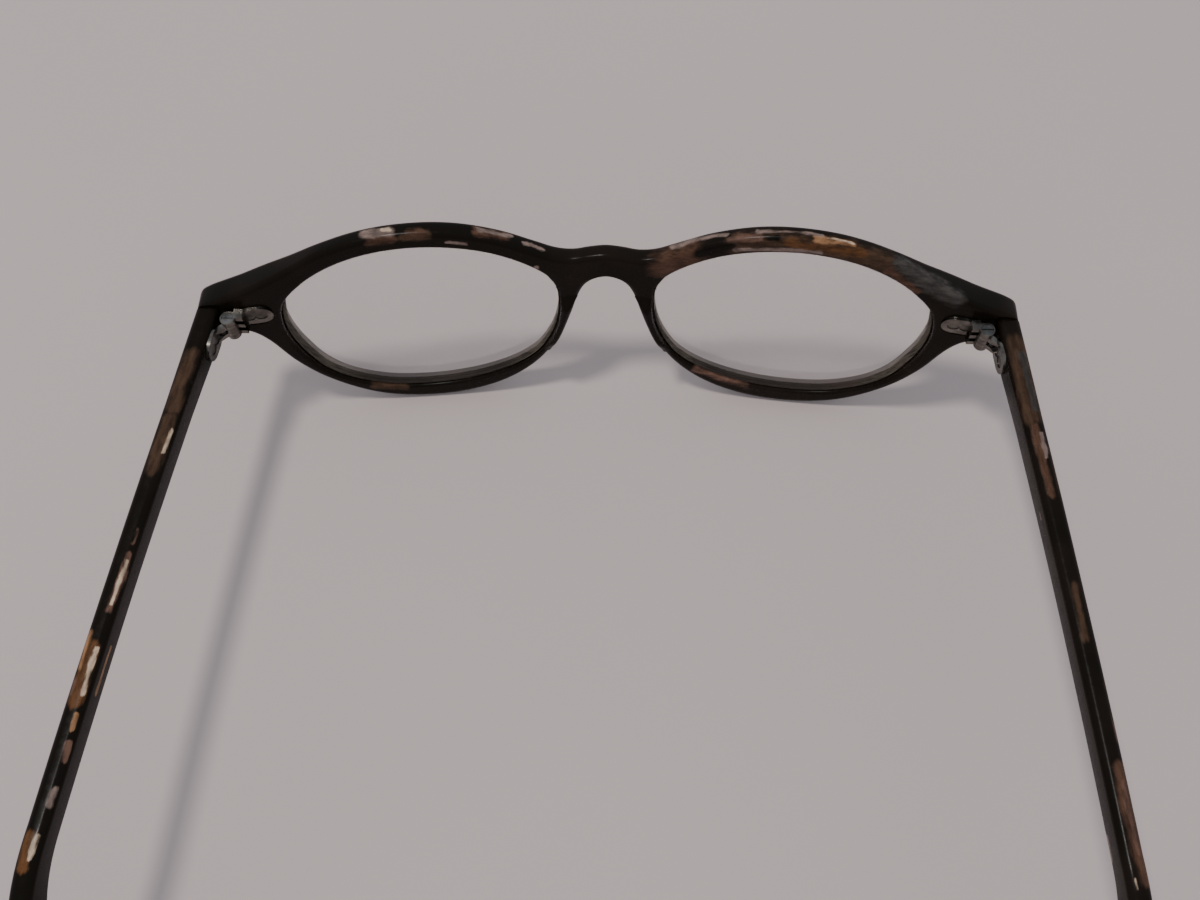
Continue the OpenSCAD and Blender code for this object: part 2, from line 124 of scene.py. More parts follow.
def meet(q, eye):
    """Where the ray from the middle of the opening towards q crosses the opening's edge."""
    d = q - EYE_C
    a = eye - EYE_C
    b = np.roll(a, -1, 0)
    hit = (cross(a, d) >= 0) & (cross(b, d) < 0) & ((a @ d) > 0)
    i = int(np.nonzero(hit)[0][0])
    e = b[i] - a[i]
    return EYE_C + d * (cross(a[i], e) / cross(d, e))


def w_rim(u):
    return -u * u / (2 * CURVE)


def to_end(u):
    return smooth((np.abs(u) - END_FROM) / END_RUN)


def w_rear(u):
    return w_rim(u) - END_BACK * to_end(u)


def w_front(u):
    return w_rim(u) + RIM_T + (END_T - END_BACK - RIM_T) * to_end(u)


def by_pad(q):
    """1 where a nose pad sits on the rim beside the nose, falling to 0 past its two ends."""
    u, v = np.abs(q[..., 0]), q[..., 1]
    return np.where(u > PAD_REACH, 0.0,
                    smooth((v - PAD_LOW) / PAD_FADE) * smooth((PAD_TOP - v) / PAD_FADE))


def skin(p, n, e):
    """Points of one ring: e is the inset from the outline, what the offset is measured from
    (the front face, the rear face or the middle of the groove) and the offset."""
    inset, kind, off = e
    k = 1 - 0.85 * by_pad(p) if kind == "rear" else np.ones(len(p))
    q = p + n * (inset * k)[:, None]
    u = q[:, 0]
    w = (w_front(u) - off if kind == "front" else w_rear(u) + off * k if kind == "rear"
         else w_rim(u) + RIM_T / 2 + off)
    return np.stack([u, w, q[:, 1]], 1)


def rounding(r, kind, n, closing):
    a = [rad(90 * k / n) for k in (range(n, -1, -1) if closing else range(n + 1))]
    return [(r * (1 - math.sin(x)), kind, r * (1 - math.cos(x))) for x in a]


# ---------------------------------------------------------------- frames
def on_front():
    return Matrix.Translation((0, STAND_Y, STAND_Z)) @ Matrix.Rotation(rad(-TILT), 4, "X")


def hinge_frame():
    w = float(w_rear(60.0)) - HINGE_BACK
    t = rad(TILT)
    p = (HINGE_U, STAND_Y + HINGE_V * math.sin(t) + w * math.cos(t),
         STAND_Z + HINGE_V * math.cos(t) - w * math.sin(t))
    return Matrix.Translation(p) @ Matrix.Rotation(rad(-RISE), 4, "X")


def temple_frame(side):
    return hinge_frame() @ Matrix.Rotation(rad(SPLAY[side]), 4, "Z")


def mesh_object(name, verts, faces, frame_m=None, side=1):
    """A new object in metres from points in mm in the right-hand frame, mirrored for side -1."""
    me = bpy.data.meshes.new(name)
    me.from_pydata([tuple(v) for v in verts], [], [tuple(f) for f in faces])
    ob = bpy.data.objects.new(name, me)
    bpy.context.scene.collection.objects.link(ob)
    if frame_m is not None:
        me.transform(frame_m)
    me.transform(Matrix.Translation((STAND_X * MM, 0, 0)) @ Matrix.Diagonal((MM * side, MM, MM, 1)))
    bm = bmesh.new()
    bm.from_mesh(me)
    bmesh.ops.remove_doubles(bm, verts=bm.verts, dist=2e-7)
    bmesh.ops.recalc_face_normals(bm, faces=bm.faces)
    bm.to_mesh(me)
    bm.free()
    return ob


def apply_all(ob):
    bpy.context.view_layer.update()
    dg = bpy.context.evaluated_depsgraph_get()
    me = bpy.data.meshes.new_from_object(ob.evaluated_get(dg))
    old = ob.data
    ob.modifiers.clear()
    ob.data = me
    bpy.data.meshes.remove(old)


def carve(ob, cutters):
    """Cut the cutters out of ob, and remove them."""
    for c in cutters:
        m = ob.modifiers.new("cut", "BOOLEAN")
        m.operation, m.solver, m.object = "DIFFERENCE", "EXACT", c
    apply_all(ob)
    for c in cutters:
        bpy.data.objects.remove(c)


def shade(ob, angle=35):
    """Smooth shading with edges sharper than the angle kept sharp."""
    me = ob.data
    me.polygons.foreach_set("use_smooth", [True] * len(me.polygons))
    bm = bmesh.new()
    bm.from_mesh(me)
    for e in bm.edges:
        e.smooth = not (len(e.link_faces) == 2 and e.calc_face_angle(0) > rad(angle))
    bm.to_mesh(me)
    bm.free()


# ---------------------------------------------------------------- cutters shared with the CAD
def box_cutter(lo, hi, frame_m, side):
    x, y, z = zip(lo, hi)
    v = [(x[i], y[j], z[k]) for i in (0, 1) for j in (0, 1) for k in (0, 1)]
    f = [(0, 1, 3, 2), (4, 6, 7, 5), (0, 4, 5, 1), (2, 3, 7, 6), (0, 2, 6, 4), (1, 5, 7, 3)]
    return mesh_object("cutter", v, f, frame_m, side)


def leaf_cutter(frame_m, side, extra=0.05):
    """Obround pocket for a leaf, in the leaf's frame: flat in x-z, depth along +y."""
    r = LEAF_H / 2 + extra
    n = 24
    ring = [(LEAF_H / 2 + r * math.cos(rad(90 + 180 * k / n)), r * math.sin(rad(90 + 180 * k / n)))
            for k in range(n + 1)]
    ring += [(LEAF_L - LEAF_H / 2 + r * math.cos(rad(-90 + 180 * k / n)),
              r * math.sin(rad(-90 + 180 * k / n))) for k in range(n + 1)]
    m = len(ring)
    v = [(x, -1.0, z) for x, z in ring] + [(x, LEAF_T + extra, z) for x, z in ring]
    f = [tuple(range(m)), tuple(range(2 * m - 1, m - 1, -1))]
    f += [(i, (i + 1) % m, (i + 1) % m + m, i + m) for i in range(m)]
    return mesh_object("cutter", v, f, frame_m, side)


def front_leaf_frame():
    turn = -math.atan(float(w_rear(55.0) - w_rear(61.0)) / 6)
    return (hinge_frame() @ Matrix.Translation((-0.9, HINGE_BACK - 0.4, 0))
            @ Matrix.Rotation(turn, 4, "Z") @ Matrix.Diagonal((-1, 1, 1, 1)))


def temple_leaf_frame(side):
    return (temple_frame(side) @ Matrix.Rotation(rad(-90), 4, "Z")
            @ Matrix.Translation((0.7, TEMPLE_IN - 0.3, 0)))


# ---------------------------------------------------------------- the front
def build_front():
    outer = half_outline(COARSE)
    eye = eye_loop(FINE)
    st = np.array([meet(q, eye) for q in outer])
    n = len(outer)
    loop = np.vstack([outer, (outer * [-1, 1])[n - 2:0:-1]])
    n_out = normals(loop)[:n]
    n_eye = -normals(st)
    prof_o = rounding(EDGE_FRONT, "front", 6, False) + rounding(EDGE_REAR, "rear", 5, True)
    prof_e = (rounding(0.45, "rear", 4, False) + [(0, "mid", -GROOVE_H), (GROOVE_D, "mid", 0),
              (0, "mid", GROOVE_H)] + rounding(0.55, "front", 4, True))
    rim = [skin(outer, n_out, e) for e in prof_o]
    wall = [skin(st, n_eye, e) for e in prof_e]
    radial = 7

    def bridge(a, b, w):
        """Rings across one face, from ring a to ring b."""
        uv = [a[:, [0, 2]] + (b[:, [0, 2]] - a[:, [0, 2]]) * k / radial for k in range(1, radial)]
        return [np.stack([x[:, 0], w(x[:, 0]), x[:, 1]], 1) for x in uv]

    rings = rim + bridge(rim[-1], wall[0], w_rear) + wall + bridge(wall[-1], rim[0], w_front)
    k_o, k = len(prof_o), len(rings)
    pts = np.stack(rings, 1)
    verts, faces = [], []
    for mirror in (1, -1):
        base = len(verts)
        verts += [tuple(v) for v in (pts.reshape(-1, 3) * [mirror, 1, 1])]
        for i in range(n):
            j = (i + 1) % n
            for c in range(k):
                if i == n - 1 and c < k_o - 1:
                    continue
                d = (c + 1) % k
                faces.append((base + i * k + c, base + j * k + c, base + j * k + d, base + i * k + d))
    ob = mesh_object("front_acetate", verts, faces, on_front())
    cut = []
    for s in (1, -1):
        cut.append(box_cutter((-1.5, HINGE_BACK - 12, -12), (12.5, HINGE_BACK, 12), hinge_frame(), s))
        cut.append(leaf_cutter(front_leaf_frame(), s))
        cut.append(box_cutter((-2.45, -2, -KNUCKLE_H / 2), (-0.85, 1.8, KNUCKLE_H / 2),
                              hinge_frame(), s))
    carve(ob, cut)
    shade(ob, 30)
    return ob


# ---------------------------------------------------------------- the nose pads
def build_pad(side):
    """A pad that follows the rim beside the nose: flat on the rear face and domed behind it."""
    outer = half_outline(FINE)
    eye = eye_loop(FINE)
    st = np.array([meet(q, eye) for q in outer])
    on = by_pad(outer) > 0.02
    a, b = outer[on], st[on]
    h = np.maximum(0.05, PAD_H * by_pad(a) + 0.05)
    arc = [rad(x) for x in range(0, 181, 9)]

    def pt(i, f, d):
        q = a[i] + (b[i] - a[i]) * f
        return np.array([q[0], float(w_rear(q[0])) - d, q[1]])

    def end(i, j):
        return pt(i, 0.5, 0.0) + (pt(i, 0.5, 0.0) - pt(j, 0.5, 0.0)) * 0.9

    m, n = len(arc), len(a)
    v = [pt(i, 0.5 + 0.45 * math.cos(x), h[i] * math.sin(x) - 0.04) for i in range(n) for x in arc]
    v += [end(0, 1), end(n - 1, n - 2)]
    f = [(i * m + j, i * m + (j + 1) % m, (i + 1) * m + (j + 1) % m, (i + 1) * m + j)
         for i in range(n - 1) for j in range(m)]
    f += [((j + 1) % m, j, n * m) for j in range(m)]
    f += [((n - 1) * m + j, (n - 1) * m + (j + 1) % m, n * m + 1) for j in range(m)]
    ob = mesh_object("pad_acetate_" + ("right" if side > 0 else "left"), v, f, on_front(), side)
    shade(ob, 50)
    return ob


# ---------------------------------------------------------------- the lenses
def build_lens(side):
    """Meniscus lens with a bevelled, ground edge. Slot 0 is polished, slot 1 the ground edge."""
    eye = eye_loop(0.5)
    nn = -normals(eye)
    mid = RIM_T / 2

    def edge_pt(inset, off):
        q = eye + nn * inset
        return np.stack([q[:, 0], w_rim(q[:, 0]) + mid + off, q[:, 1]], 1)

    def face_pt(r, front):
        q = EYE_C + (eye - EYE_C) * r
        w = w_rim(q[:, 0]) + mid + 1.0 + LENS_RISE * (1 - r * r)
        if not front:
            w = w - (LENS_MID + (LENS_EDGE - LENS_MID) * r * r) - 0.15 * r * r
        return np.stack([q[:, 0], w, q[:, 1]], 1)

    fr = [k / 14 for k in range(1, 14)]
    rings = [face_pt(r, True) for r in fr] + [edge_pt(-0.5, 1.03), edge_pt(-0.35, 1.0)]
    n_front = len(rings)
    rings += [edge_pt(-LENS_GAP, 0.62), edge_pt(GROOVE_D - LENS_GAP - 0.02, 0),
              edge_pt(-LENS_GAP, -0.62), edge_pt(-LENS_GAP, 1.05 - LENS_EDGE)]
    n_edge = len(rings)
    rings += [edge_pt(-0.25, 0.88 - LENS_EDGE), edge_pt(-0.4, 0.85 - LENS_EDGE)]
    rings += [face_pt(r, False) for r in reversed(fr)]
    n, k = len(eye), len(rings)
    v = [tuple(p) for p in np.stack(rings, 1).reshape(-1, 3)]
    v += [tuple(face_pt(0.0, True)[0]), tuple(face_pt(0.0, False)[0])]
    f, slot = [], []
    for i in range(n):
        j = (i + 1) % n
        for c in range(k - 1):
            f.append((i * k + c, i * k + c + 1, j * k + c + 1, j * k + c))
            slot.append(1 if n_front - 1 <= c < n_edge else 0)
        f += [(n * k, i * k, j * k), (n * k + 1, j * k + k - 1, i * k + k - 1)]
        slot += [0, 0]
    name = "lens_polished_" + ("right" if side > 0 else "left")
    ob = mesh_object(name, v, f, on_front(), side)
    ob.data.polygons.foreach_set("material_index", slot)
    shade(ob, 28)
    return ob


# ---------------------------------------------------------------- the temples
ARC = BEND_R * rad(BEND_A)
TEMPLE_L = SHAFT + ARC + TIP
MID_X = TEMPLE_IN + BUTT_T / 2
SECTIONS = np.array([[-6, BUTT_T, BUTT_H], [0, BUTT_T, BUTT_H], [16, BUTT_T - 0.3, BUTT_H - 0.6],
                     [45, 3.3, 5.6], [SHAFT, 3.3, 5.7], [SHAFT + ARC + 8, 3.5, 6.8],
                     [TEMPLE_L - 8, 3.4, 7.0], [TEMPLE_L + 1, 3.0, 6.4]])
NOSE_L = 3.4


def at_s(s, lateral, up):
    """The point of the cross-section at s, in the temple's own frame."""
    t = min(max((s - SHAFT) / BEND_R, 0.0), rad(BEND_A))
    past = max(s - SHAFT - ARC, 0.0)
    run = min(s, SHAFT) + BEND_R * math.sin(t) + past * math.cos(rad(BEND_A))
    drop = BEND_R * (1 - math.cos(t)) + past * math.sin(rad(BEND_A))
    bow = BOW * (1 - (2 * s / SHAFT - 1) ** 2) if 0 < s < SHAFT else 0.0
    h = up * math.cos(t) - drop
    f = float(smooth((s - SHAFT) / ARC))
    return (MID_X + bow + lateral + h * math.sin(rad(TIP_TURN)) * f, -run - up * math.sin(t),
            h * (1 - (1 - math.cos(rad(TIP_TURN))) * f))


def rounded(t, h, r, n=9):
    out = []
    for q, (sx, sz) in enumerate(((1, 1), (-1, 1), (-1, -1), (1, -1))):
        for k in range(n + 1):
            a = rad(90 * q + 90 * k / n)
            out.append((sx * (t / 2 - r) + r * math.cos(a), sz * (h / 2 - r) + r * math.sin(a)))
    return out


def build_temple(side):
    s_list = list(np.arange(-4, TEMPLE_L - NOSE_L, 1.0)) + [
        TEMPLE_L - NOSE_L + NOSE_L * math.sin(rad(a)) for a in range(6, 88, 7)]
    v = []
    for s in s_list:
        c = math.sqrt(max(0.0, 1 - max(0.0, (s - TEMPLE_L + NOSE_L) / NOSE_L) ** 2))
        t = float(np.interp(s, SECTIONS[:, 0], SECTIONS[:, 1])) * max(c, 0.04)
        h = float(np.interp(s, SECTIONS[:, 0], SECTIONS[:, 2])) * max(c, 0.04)
        v += [at_s(s, x, z) for x, z in rounded(t, h, min(1.3, t * 0.42))]
    m, n = 40, len(s_list)
    f = [(i * m + j, i * m + (j + 1) % m, (i + 1) * m + (j + 1) % m, (i + 1) * m + j)
         for i in range(n - 1) for j in range(m)]
    f += [tuple(range(m)), tuple(range(n * m - 1, (n - 1) * m - 1, -1))]
    ob = mesh_object("temple_acetate_" + ("right" if side > 0 else "left"), v, f,
                     temple_frame(side), side)
    carve(ob, [box_cutter((-5, HINGE_BACK - 0.04, -15), (15, 18, 15), hinge_frame(), side),
               leaf_cutter(temple_leaf_frame(side), side)])
    shade(ob, 30)
    return ob


# ---------------------------------------------------------------- node helpers
class Nodes:
    """Short calls to add and join shader nodes."""

    def __init__(self, name):
        self.mat = bpy.data.materials.new(name)
        self.mat.use_nodes = True
        self.t = self.mat.node_tree
        self.t.nodes.clear()

    def add(self, kind, **inputs):
        n = self.t.nodes.new(kind)
        for k, v in inputs.items():
            self.put(n, k, v)
        return n

    def put(self, n, key, value):
        key = int(key[1:]) if key[0] == "i" and key[1:].isdigit() else key.replace("_", " ")
        if isinstance(value, bpy.types.NodeSocket):
            self.t.links.new(value, n.inputs[key])
        else:
            n.inputs[key].default_value = value

    def math(self, op, a, b=0.0, clamp=False):
        n = self.add("ShaderNodeMath", i0=a, i1=b)
        n.operation, n.use_clamp = op, clamp
        return n.outputs[0]

    def vec(self, op, a, b=(0, 0, 0)):
        n = self.add("ShaderNodeVectorMath", i0=a, i1=b)
        n.operation = op
        return n.outputs["Value"] if op in ("LENGTH", "DOT_PRODUCT") else n.outputs[0]

    def mix(self, fac, a, b):
        n = self.t.nodes.new("ShaderNodeMix")
        n.data_type = "RGBA"
        for i, v in ((0, fac), (6, a), (7, b)):
            if isinstance(v, bpy.types.NodeSocket):
                self.t.links.new(v, n.inputs[i])
            else:
                n.inputs[i].default_value = v if i == 0 else (*v, 1.0)
        return n.outputs[2]

    def noise(self, vector, scale, detail=3.0, rough=0.5):
        return self.add("ShaderNodeTexNoise", Vector=vector, Scale=scale, Detail=detail,
                        Roughness=rough, Distortion=0.0)

    def ramp(self, value, lo, hi, to_lo=0.0, to_hi=1.0):
        n = self.add("ShaderNodeMapRange", i0=value, i1=lo, i2=hi, i3=to_lo, i4=to_hi)
        n.interpolation_type = "SMOOTHSTEP"
        return n.outputs[0]

    def object_mm(self):
        """The object's own coordinates in millimetres."""
        return self.vec("MULTIPLY", self.add("ShaderNodeTexCoord").outputs["Object"], (1 / MM,) * 3)

    def finish(self, shader):
        out = self.add("ShaderNodeOutputMaterial")
        self.t.links.new(shader.outputs[0], out.inputs[0])
        return self.mat


# ---------------------------------------------------------------- tortoiseshell acetate
DARK = (0.0060, 0.0040, 0.0022)
TINTS = {  # colour, and how much light goes through; the later ones lie over the earlier ones
    "brown": ((0.062, 0.034, 0.020), 0.05),
    # painted sheen: this tint stands for the grey sheen of light on the right endpiece's top face; on
    # the right temple it is a grey-brown run beside the hinge
    "taupe": ((0.056, 0.048, 0.043), 0.00),
    "caramel": ((0.085, 0.042, 0.026), 0.10),
    "amber": ((0.125, 0.052, 0.019), 0.15),
    "rose": ((0.140, 0.074, 0.052), 0.10),
    "black": (DARK, 0.0),
    "orange": ((0.360, 0.180, 0.085), 0.20),
    "pink": ((0.230, 0.160, 0.135), 0.10),
    # pale cream sheet on the temples; the same tint also makes painted glints of the light on the
    # brows and the right temple
    "cream": ((0.660, 0.480, 0.340), 0.15),
}


TIP_BLOTCHES = (SHAFT + 12, SHAFT + 18)  # distance behind the hinge where free blotches set in
DARK_LIGHT = (0.0120, 0.0072, 0.0045)
RUN_EDGE, RUN_CORE, STREAKS = 1.30, 0.45, -0.8  # a run's border and core in radii, and its fraying


def segment_distance(g, q, a, b):
    """Distance of q from the segment a-b."""
    a, b = Vector(a), Vector(b)
    d = g.vec("SUBTRACT", q, tuple(a))
    ab = b - a
    if ab.length == 0:
        return g.vec("LENGTH", d)
    t = g.math("MULTIPLY", g.vec("DOT_PRODUCT", d, tuple(ab)), 1 / ab.length_squared, True)
    along = g.t.nodes.new("ShaderNodeVectorMath")
    along.operation = "SCALE"
    g.put(along, "i0", tuple(ab))
    g.put(along, "i3", t)
    return g.vec("LENGTH", g.vec("SUBTRACT", d, along.outputs[0]))


def acetate(name, frame_m, side, patches, seed, run, hidden):
    """Near black acetate with runs of lighter, clearer sheet in it, and a few runs of painted light:
    a painted sheen and painted glints laid in as tints.

    A patch is a tint, a radius and the points it runs through, in mm in the piece's own frame.
    run squeezes the noise along the way the sheet was drawn, so the grain is long that way.
    hidden is a direction and two depths along it: past them, the pattern is free blotches.
    """
    g = Nodes(name)
    co = g.add("ShaderNodeTexCoord").outputs["Object"]
    m = (Matrix.Translation((STAND_X, 0, 0)) @ Matrix.Diagonal((side, 1, 1, 1)) @ frame_m
         @ Matrix.Diagonal((side, 1, 1, 1)))
    mp = g.add("ShaderNodeMapping", Vector=co, Location=m.to_translation() * MM,
               Rotation=tuple(m.to_euler("XYZ")), Scale=(MM, MM, MM))
    mp.vector_type = "TEXTURE"
    p = mp.outputs[0]
    shift = g.vec("ADD", p, (seed * 17.3, seed * 5.1, seed * 9.7))
    # wandering borders with small runs in them
    drawn = g.vec("MULTIPLY", shift, run)
    big = g.noise(drawn, 0.30, 2.0, 0.5).outputs["Color"]
    small = g.noise(drawn, 1.3, 3.0, 0.6).outputs["Color"]
    w1 = g.vec("MULTIPLY", g.vec("SUBTRACT", big, (0.5, 0.5, 0.5)), (2.0, 2.0, 1.6))
    w2 = g.vec("MULTIPLY", g.vec("SUBTRACT", small, (0.5, 0.5, 0.5)), (0.9, 0.9, 0.7))
    q = g.vec("ADD", g.vec("ADD", p, w1), w2)
    # slow changes of the dark base, from near black to a very dark brown
    base_f = g.ramp(g.noise(shift, 0.05, 3.0, 0.6).outputs[0], 0.45, 0.70)
    colour = g.mix(base_f, DARK, DARK_LIGHT)
    streaky = g.noise(drawn, 1.0, 4.0, 0.6).outputs[0]
    grain = g.ramp(streaky, 0.30, 0.72)
    # free blotches on the faces that no listed patch reaches
    way, start, end = hidden
    far = g.ramp(g.vec("DOT_PRODUCT", p, way), start, end)
    tips = g.ramp(g.vec("DOT_PRODUCT", p, (0, -1, 0)), *TIP_BLOTCHES)
    far = g.math("MAXIMUM", far, tips)
    for size, lo, hi, tint in ((0.13, 0.54, 0.62, "caramel"), (0.34, 0.62, 0.68, "rose")):
        rgb = TINTS[tint][0]
        blotch = g.noise(g.vec("ADD", drawn, (40.0, 9.0, 3.0)), size, 2.5, 0.55).outputs[0]
        spot = g.ramp(blotch, lo, hi)
        colour = g.mix(g.math("MULTIPLY", spot, far), colour,
                       g.mix(grain, tuple(x * 0.45 for x in rgb), rgb))
    clear = None
    for tint, (rgb, through_f) in TINTS.items():
        near = None
        for t, r, *pts in patches:
            if t != tint:
                continue
            for a, b in zip(pts, pts[1:] or pts):
                d = g.math("DIVIDE", segment_distance(g, q, a, b), r)
                near = d if near is None else g.math("MINIMUM", near, d)
        if near is None:
            continue
        near = g.math("ADD", near, g.math("MULTIPLY", g.math("SUBTRACT", streaky, 0.5), STREAKS))
        mask = g.ramp(near, RUN_EDGE, RUN_CORE)
        colour = g.mix(mask, colour, g.mix(grain, tuple(x * 0.5 for x in rgb),
                                           tuple(x * 1.2 for x in rgb)))
        if clear is None:
            clear = g.math("MULTIPLY", mask, through_f)
        else:
            keep = g.math("MULTIPLY", clear, g.math("SUBTRACT", 1.0, mask))
            clear = g.math("ADD", keep, g.math("MULTIPLY", mask, through_f))
    # polished surface with faint handling marks
    marks = g.noise(shift, 0.9, 4.0, 0.65).outputs[0]
    fine = g.noise(shift, 9.0, 2.0, 0.6).outputs[0]
    rough = g.math("ADD", g.ramp(marks, 0.35, 0.8, 0.18, 0.34), g.math("MULTIPLY", fine, 0.05))
    bump = g.add("ShaderNodeBump", Height=g.math("ADD", marks, g.math("MULTIPLY", fine, 0.12)),
                 Strength=0.10, Distance=0.00008)
    sh = g.add("ShaderNodeBsdfPrincipled", Base_Color=colour, Roughness=rough, IOR=1.36,
               Normal=bump.outputs[0])
    sh.inputs["Specular IOR Level"].default_value = 0.14
    g.put(sh, "Transmission Weight", clear)
    return g.finish(sh)


# ---------------------------------------------------------------- where the lighter runs lie
RUN_STEP = 8.0
BROW, LOWER = 1, -1
# lines along a temple, as parts of its half thickness outwards and its half height upwards
TEMPLE_LINES = {"top": (0, 1), "inner_top": (-0.5, 1), "outer_top": (0.5, 1), "inner": (-1, 0),
                "inner_low": (-1, -0.5), "middle": (0, 0)}
# tint, radius, edge of the rim, from and to (mm from the middle, + is the wearer's right),
# depth from the rear face (0) to the front face (1), across from the outer edge (0) to the lens (1)
FRONT_RUNS = [
    ("caramel", 2.4, BROW, 9, 14, 0.2, 0.4),
    # pink sheet brightened by a painted reflection of the light on the top rounding
    ("pink", 0.55, BROW, 11, 19, 0.6, 0),
    ("black", 1.1, BROW, 15, 20, 0, 0.4),
    ("rose", 0.9, BROW, 20, 24, 0.2, 0),
    ("black", 0.5, BROW, 25, 27, 0, 0),
    # pink sheet brightened by a painted reflection of the light along the top edge
    ("pink", 0.45, BROW, 24, 34, 0.5, 0),
    ("brown", 2.2, BROW, 21, 44, 0, 0.4),
    ("amber", 1.1, BROW, 29, 40, 0, 0.25),
    ("orange", 0.6, BROW, 33, 39, 0.3, 0),
    # pale cream spot with a painted highlight of the light on the top edge
    ("cream", 0.36, BROW, 35, 39, 0.35, 0),
    ("pink", 0.45, BROW, 21, 34, 0, 0.7),
    ("caramel", 0.9, BROW, 45, 50, 0, 0.7),
    # painted sheen: the grey sheen of light across the top face of the right endpiece
    ("taupe", 1.8, BROW, 47, 56, 0.1, 0.1),
    ("pink", 0.9, BROW, -38, -34, 0.3, 0),
    # painted glint: a small highlight of the light on the left brow's top edge
    ("cream", 0.4, BROW, -35, -34, 0.4, 0),
    ("caramel", 1.1, BROW, -37, -34, 0, 0.25),
    ("brown", 0.8, BROW, -32, -28, 0, 0.2),
    ("caramel", 0.7, BROW, -31, -29, 0.1, 0.1),
    ("pink", 0.45, BROW, -25, -22, 0, 0.5),
    ("caramel", 1.1, BROW, -20, -16, 0.5, 0),
    ("pink", 0.5, BROW, -20, -15, 0.6, 0),
    ("pink", 0.4, BROW, -13, -10, 0.4, 0),
    ("pink", 0.35, BROW, -35, -35, 0, 0.6),
    ("pink", 0.5, BROW, -11, -11, 0, 0.8),
    ("rose", 1.0, LOWER, 13, 16, 0.7, 1),
    ("rose", 0.9, LOWER, 16, 25, 0.1, 0.8),
    ("pink", 0.55, LOWER, 27, 28, 0.8, 1),
    ("rose", 0.75, LOWER, 37, 39, 0.6, 1),
    ("pink", 0.7, LOWER, -39, -38, 0.7, 1),
    ("brown", 1.0, LOWER, -42, -37, 0, 0.8),
    ("pink", 0.65, LOWER, -30, -27, 0.75, 1),
    ("caramel", 1.0, LOWER, -26, -22, 0.5, 1),
]
# tint, radius, line, from and to (mm along the temple from the hinge)
LEFT_RUNS = [
    ("brown", 1.4, "top", 8, 17), ("brown", 1.2, "top", 19, 28),
    ("cream", 0.36, "inner_top", 21, 25), ("rose", 0.4, "inner_top", 38, 40),
    ("rose", 0.55, "inner_top", 42, 51), ("cream", 0.3, "inner_top", 43, 50),
    ("amber", 1.1, "top", 57, 65), ("orange", 0.7, "outer_top", 55, 60),
    ("cream", 0.34, "inner_top", 57, 64), ("orange", 0.45, "inner", 56, 63),
    ("rose", 0.5, "outer_top", 62, 64), ("orange", 0.4, "inner_top", 67, 69),
    ("rose", 0.4, "inner_top", 71, 74), ("pink", 0.55, "inner_top", 78, 80),
    ("amber", 0.9, "top", 84, 88), ("cream", 0.36, "inner_top", 84, 87),
    ("caramel", 1.2, "middle", 92, 98),
]
RIGHT_RUNS = [
    ("brown", 1.7, "top", 3, 16), ("taupe", 0.6, "outer_top", 5, 15),
    ("caramel", 0.7, "top", 18, 29), ("pink", 0.34, "outer_top", 19, 23),
    ("pink", 0.32, "inner", 31, 32), ("brown", 0.8, "top", 44, 52),
    ("caramel", 1.1, "outer_top", 71, 86), ("rose", 0.4, "outer_top", 73, 83),
    # the cream run at 86 to 87 mm is a painted glint of the light on the inner top edge
    ("pink", 0.38, "inner_low", 80, 83), ("cream", 0.3, "inner_top", 86, 87),
    ("brown", 1.3, "middle", 92, 100),
]


def height_at(loop, u, edge):
    """Height of a loop over or under the middle of the lens, between the nose and the endpiece."""
    half = loop[(loop[:, 1] - EYE_C[1]) * edge > 0]
    order = np.argsort(half[:, 0])
    return float(np.interp(abs(u), half[order, 0], half[order, 1]))


def steps(start, end):
    return [float(x) for x in np.linspace(start, end, max(1, round(abs(end - start) / RUN_STEP)) + 1)]


def rim_run(tint, radius, edge, start, end, depth, across):
    """A run that follows the rim, as acetate() takes it."""
    pts = []
    for u in steps(start, end):
        outer, eye = (height_at(loop, u, edge) for loop in (half_outline(COARSE), eye_loop(FINE)))
        rear, front = float(w_rear(u)), float(w_front(u))
        pts.append((u, rear + depth * (front - rear), outer + across * (eye - outer)))
    return (tint, radius, *pts)


def temple_run(side, tint, radius, line, start, end):
    """A run that follows a line along the temple and round its bend."""
    out, up = TEMPLE_LINES[line]
    pts = []
    for s in steps(start, end):
        t, h = (float(np.interp(s, SECTIONS[:, 0], SECTIONS[:, k])) for k in (1, 2))
        x, y, z = at_s(s, out * t / 2, up * h / 2)
        pts.append((x * side, y, z))
    return (tint, radius, *pts)


# ---------------------------------------------------------------- other materials
def lens_material():
    g = Nodes("lens_clear")
    sh = g.add("ShaderNodeBsdfPrincipled", Base_Color=(0.985, 0.99, 0.99, 1), Roughness=0.0,
               IOR=1.5, Transmission_Weight=1.0, Alpha=0.20)
    film = g.noise(g.object_mm(), 0.06, 3.0, 0.6).outputs[0]
    g.put(sh, "Roughness", g.ramp(film, 0.45, 0.8, 0.0, 0.03))
    return g.finish(sh)


